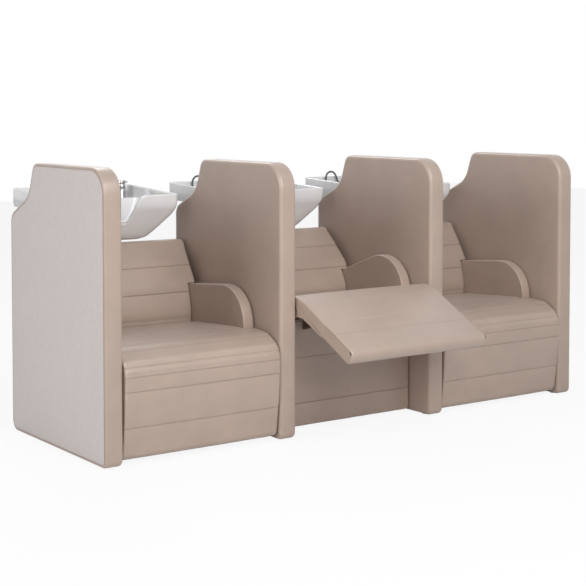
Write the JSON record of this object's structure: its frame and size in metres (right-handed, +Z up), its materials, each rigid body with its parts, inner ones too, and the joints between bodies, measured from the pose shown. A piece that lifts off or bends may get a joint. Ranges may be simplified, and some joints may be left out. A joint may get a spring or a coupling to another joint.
{
  "type": "hair washing bed",
  "caption": "Row of upholstered hair washing beds between high padded panels, with powered lying seats, folding footrests and tilting ceramic basins.",
  "frame": {"origin": "on the floor, below the middle of the whole row's box", "axes": "+X along the row to the sitter's left, +Y from the footrests to the basins, +Z up"},
  "size_m": [2.51, 1.5372, 1.15],
  "materials": {
    "upholstery": "fine grain, soft sheen",
    "side_cloth": "woven",
    "powder_coat": "satin",
    "board": "satin lacquer",
    "ceramic": "gloss glaze",
    "chrome": "polished",
    "black_plastic": "gloss",
    "glide_plastic": "matte",
    "hose_plastic": "matte"
  },
  "bodies": {
    "root": {"left_end_panel": "upholstery", "right_end_panel": "upholstery", "end_fabrics": "side_cloth", "floor_glides": "glide_plastic", "partition_1": "upholstery", "partition_2": "upholstery", "base_fascias": "upholstery", "rear_covers": "board", "base_frame": "powder_coat", "actuators": "powder_coat", "back_hinge_bars": "powder_coat", "basin_stands": "powder_coat"},
    "carriage_1": {"carriage_1": "powder_coat"},
    "seat_1": {"seat_frame_1": "powder_coat", "seat_cushion_1": "upholstery", "arm_left_1": "upholstery", "arm_right_1": "upholstery"},
    "footrest_1": {"footrest_frame_1": "powder_coat", "footrest_pad_1": "upholstery"},
    "back_1": {"back_board_1": "board", "back_cushion_1": "upholstery"},
    "basin_1": {"basin_1": "ceramic", "basin_cradle_1": "powder_coat", "waste_1": "chrome", "mixer_body_1": "chrome", "shower_hose_1": "hose_plastic", "hand_shower_1": "black_plastic"},
    "mixer_lever_1": {"mixer_lever_1": "chrome"},
    "carriage_2": {"carriage_2": "powder_coat"},
    "seat_2": {"seat_frame_2": "powder_coat", "seat_cushion_2": "upholstery", "arm_left_2": "upholstery", "arm_right_2": "upholstery"},
    "footrest_2": {"footrest_frame_2": "powder_coat", "footrest_pad_2": "upholstery"},
    "back_2": {"back_board_2": "board", "back_cushion_2": "upholstery"},
    "basin_2": {"basin_2": "ceramic", "basin_cradle_2": "powder_coat", "waste_2": "chrome", "mixer_body_2": "chrome", "shower_hose_2": "hose_plastic", "hand_shower_2": "black_plastic"},
    "mixer_lever_2": {"mixer_lever_2": "chrome"},
    "carriage_3": {"carriage_3": "powder_coat"},
    "seat_3": {"seat_frame_3": "powder_coat", "seat_cushion_3": "upholstery", "arm_left_3": "upholstery", "arm_right_3": "upholstery"},
    "footrest_3": {"footrest_frame_3": "powder_coat", "footrest_pad_3": "upholstery"},
    "back_3": {"back_board_3": "board", "back_cushion_3": "upholstery"},
    "basin_3": {"basin_3": "ceramic", "basin_cradle_3": "powder_coat", "waste_3": "chrome", "mixer_body_3": "chrome", "shower_hose_3": "hose_plastic", "hand_shower_3": "black_plastic"},
    "mixer_lever_3": {"mixer_lever_3": "chrome"}
  },
  "joints": [
    {"name": "carriage_slide_1", "type": "slide", "parent": "root", "child": "carriage_1", "axis": [0, -1, 0], "range_m": [0, 0.11]},
    {"name": "seat_tilt_1", "type": "hinge", "parent": "carriage_1", "child": "seat_1", "pos_m": [-0.81, 0.27862, 0.3256], "axis": [-1, 0, 0], "range_deg": [0, 15]},
    {"name": "foot_lift_1", "type": "hinge", "parent": "seat_1", "child": "footrest_1", "pos_m": [-0.81, -0.37938, 0.357], "axis": [-1, 0, 0], "range_deg": [0, 55]},
    {"name": "back_recline_1", "type": "hinge", "parent": "root", "child": "back_1", "pos_m": [-0.81, 0.41841, 0.7635], "axis": [-1, 0, 0], "range_deg": [0, 15]},
    {"name": "basin_tilt_1", "type": "hinge", "parent": "root", "child": "basin_1", "pos_m": [-0.81, 0.68361, 0.895], "axis": [-1, 0, 0], "range_deg": [0, 12]},
    {"name": "mixer_lever_turn_1", "type": "hinge", "parent": "basin_1", "child": "mixer_lever_1", "pos_m": [-0.598, 0.67461, 0.962], "axis": [0, 0, 1], "range_deg": [-45, 45]},
    {"name": "carriage_slide_2", "type": "slide", "parent": "root", "child": "carriage_2", "axis": [0, -1, 0], "range_m": [-0.11, 0]},
    {"name": "seat_tilt_2", "type": "hinge", "parent": "carriage_2", "child": "seat_2", "pos_m": [0, 0.16861, 0.3256], "axis": [-1, 0, 0], "range_deg": [-15, 0]},
    {"name": "foot_lift_2", "type": "hinge", "parent": "seat_2", "child": "footrest_2", "pos_m": [0, -0.45884, 0.52623], "axis": [-1, 0, 0], "range_deg": [-55, 0]},
    {"name": "back_recline_2", "type": "hinge", "parent": "root", "child": "back_2", "pos_m": [0, 0.41841, 0.7635], "axis": [-1, 0, 0], "range_deg": [-15, 0]},
    {"name": "basin_tilt_2", "type": "hinge", "parent": "root", "child": "basin_2", "pos_m": [0, 0.68361, 0.895], "axis": [-1, 0, 0], "range_deg": [0, 12]},
    {"name": "mixer_lever_turn_2", "type": "hinge", "parent": "basin_2", "child": "mixer_lever_2", "pos_m": [0.212, 0.67461, 0.962], "axis": [0, 0, 1], "range_deg": [-45, 45]},
    {"name": "carriage_slide_3", "type": "slide", "parent": "root", "child": "carriage_3", "axis": [0, -1, 0], "range_m": [0, 0.11]},
    {"name": "seat_tilt_3", "type": "hinge", "parent": "carriage_3", "child": "seat_3", "pos_m": [0.81, 0.27862, 0.3256], "axis": [-1, 0, 0], "range_deg": [0, 15]},
    {"name": "foot_lift_3", "type": "hinge", "parent": "seat_3", "child": "footrest_3", "pos_m": [0.81, -0.37938, 0.357], "axis": [-1, 0, 0], "range_deg": [0, 55]},
    {"name": "back_recline_3", "type": "hinge", "parent": "root", "child": "back_3", "pos_m": [0.81, 0.41841, 0.7635], "axis": [-1, 0, 0], "range_deg": [0, 15]},
    {"name": "basin_tilt_3", "type": "hinge", "parent": "root", "child": "basin_3", "pos_m": [0.81, 0.68361, 0.895], "axis": [-1, 0, 0], "range_deg": [0, 12]},
    {"name": "mixer_lever_turn_3", "type": "hinge", "parent": "basin_3", "child": "mixer_lever_3", "pos_m": [1.022, 0.67461, 0.962], "axis": [0, 0, 1], "range_deg": [-45, 45]}
  ],
  "couplings": [
    {"joint": "seat_tilt_1", "follows": "carriage_slide_1", "rad_per_m": 2.38},
    {"joint": "foot_lift_1", "follows": "carriage_slide_1", "rad_per_m": 8.7266},
    {"joint": "back_recline_1", "follows": "carriage_slide_1", "rad_per_m": 2.38},
    {"joint": "seat_tilt_2", "follows": "carriage_slide_2", "rad_per_m": 2.38},
    {"joint": "foot_lift_2", "follows": "carriage_slide_2", "rad_per_m": 8.7266},
    {"joint": "back_recline_2", "follows": "carriage_slide_2", "rad_per_m": 2.38},
    {"joint": "seat_tilt_3", "follows": "carriage_slide_3", "rad_per_m": 2.38},
    {"joint": "foot_lift_3", "follows": "carriage_slide_3", "rad_per_m": 8.7266},
    {"joint": "back_recline_3", "follows": "carriage_slide_3", "rad_per_m": 2.38}
  ]
}
